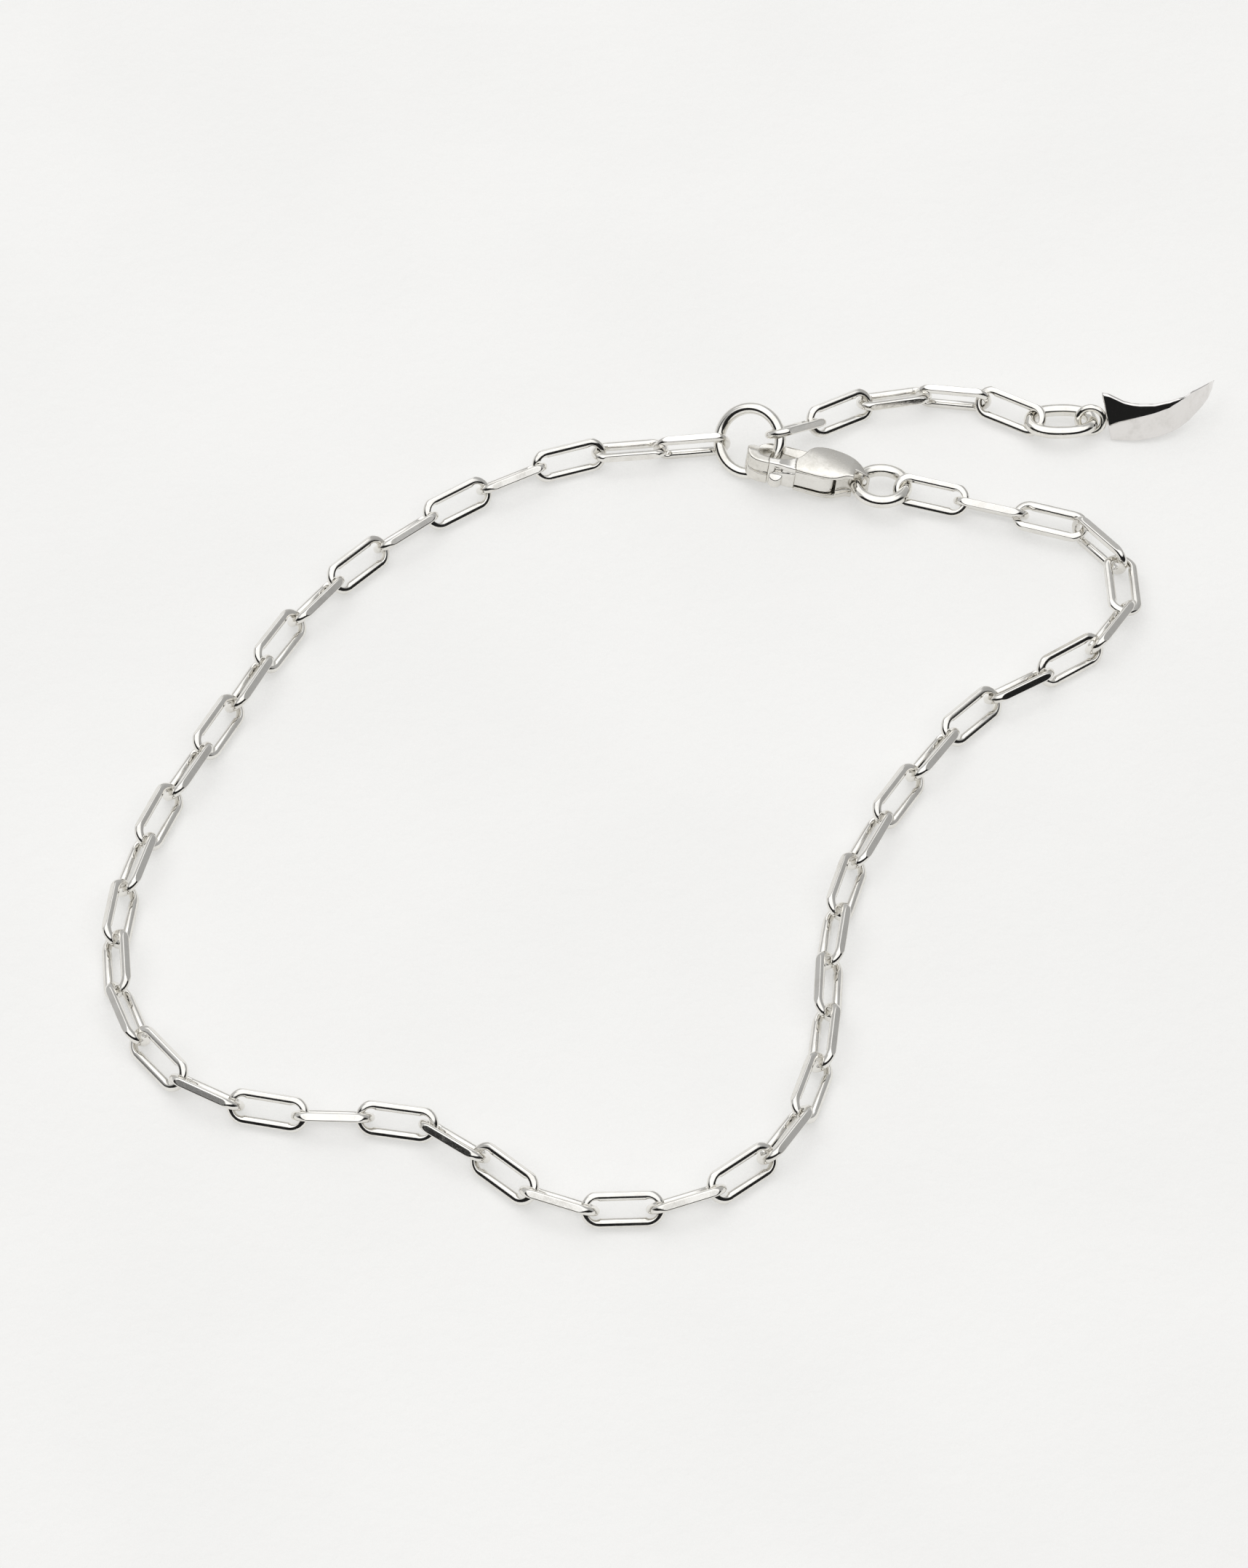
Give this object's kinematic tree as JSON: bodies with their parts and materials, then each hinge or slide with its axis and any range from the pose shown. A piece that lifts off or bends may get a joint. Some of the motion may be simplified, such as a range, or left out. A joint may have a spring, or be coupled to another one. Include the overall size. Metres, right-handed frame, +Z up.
{
  "type": "paperclip chain bracelet",
  "caption": "Silver paperclip chain bracelet with a lobster clasp, a short extender and a claw charm, laid in an open curve.",
  "frame": {"origin": "on the resting surface, at the middle of the laid bracelet's plan", "axes": "+Z up, +X to the right of the picture, +Y away from the viewer towards the clasp side"},
  "size_m": [0.0654, 0.0636, 0.0035],
  "materials": {
    "polished_silver": "polished sterling silver with fine wear",
    "bright_silver": "bright drawn silver wire",
    "satin_silver": "cast silver, softly buffed"
  },
  "bodies": {
    "chain": {"charm_ring": "bright_silver", "clasp_body": "satin_silver", "clasp_ring": "bright_silver", "claw_charm": "polished_silver", "extender_link_01": "polished_silver", "extender_link_02": "polished_silver", "extender_link_03": "polished_silver", "extender_link_04": "polished_silver", "extender_link_05": "polished_silver", "joining_ring": "bright_silver", "link_01": "polished_silver", "link_02": "polished_silver", "link_03": "polished_silver", "link_04": "polished_silver", "link_05": "polished_silver", "link_06": "polished_silver", "link_07": "polished_silver", "link_08": "polished_silver", "link_09": "polished_silver", "link_10": "polished_silver", "link_11": "polished_silver", "link_12": "polished_silver", "link_13": "polished_silver", "link_14": "polished_silver", "link_15": "polished_silver", "link_16": "polished_silver", "link_17": "polished_silver", "link_18": "polished_silver", "link_19": "polished_silver", "link_20": "polished_silver", "link_21": "polished_silver", "link_22": "polished_silver", "link_23": "polished_silver", "link_24": "polished_silver", "link_25": "polished_silver", "link_26": "polished_silver", "link_27": "polished_silver", "link_28": "polished_silver", "link_29": "polished_silver", "link_30": "polished_silver", "link_31": "polished_silver", "link_32": "polished_silver", "link_33": "polished_silver", "link_34": "polished_silver", "link_35": "polished_silver", "link_36": "polished_silver", "link_37": "polished_silver", "link_38": "polished_silver", "link_39": "polished_silver", "link_40": "polished_silver", "link_41": "polished_silver", "link_42": "polished_silver", "link_43": "polished_silver", "link_44": "polished_silver", "link_45": "polished_silver", "link_46": "polished_silver"},
    "lever": {"clasp_lever": "polished_silver"}
  },
  "joints": [
    {"name": "lever_hinge", "type": "hinge", "parent": "chain", "child": "lever", "pos_m": [0.00877, 0.02296, 0.00139], "axis": [-0.0981, 0.0272, -0.9948], "range_deg": [0, 7], "stiffness_Nm_per_rad": 0.004, "springref_deg": -8.59}
  ]
}
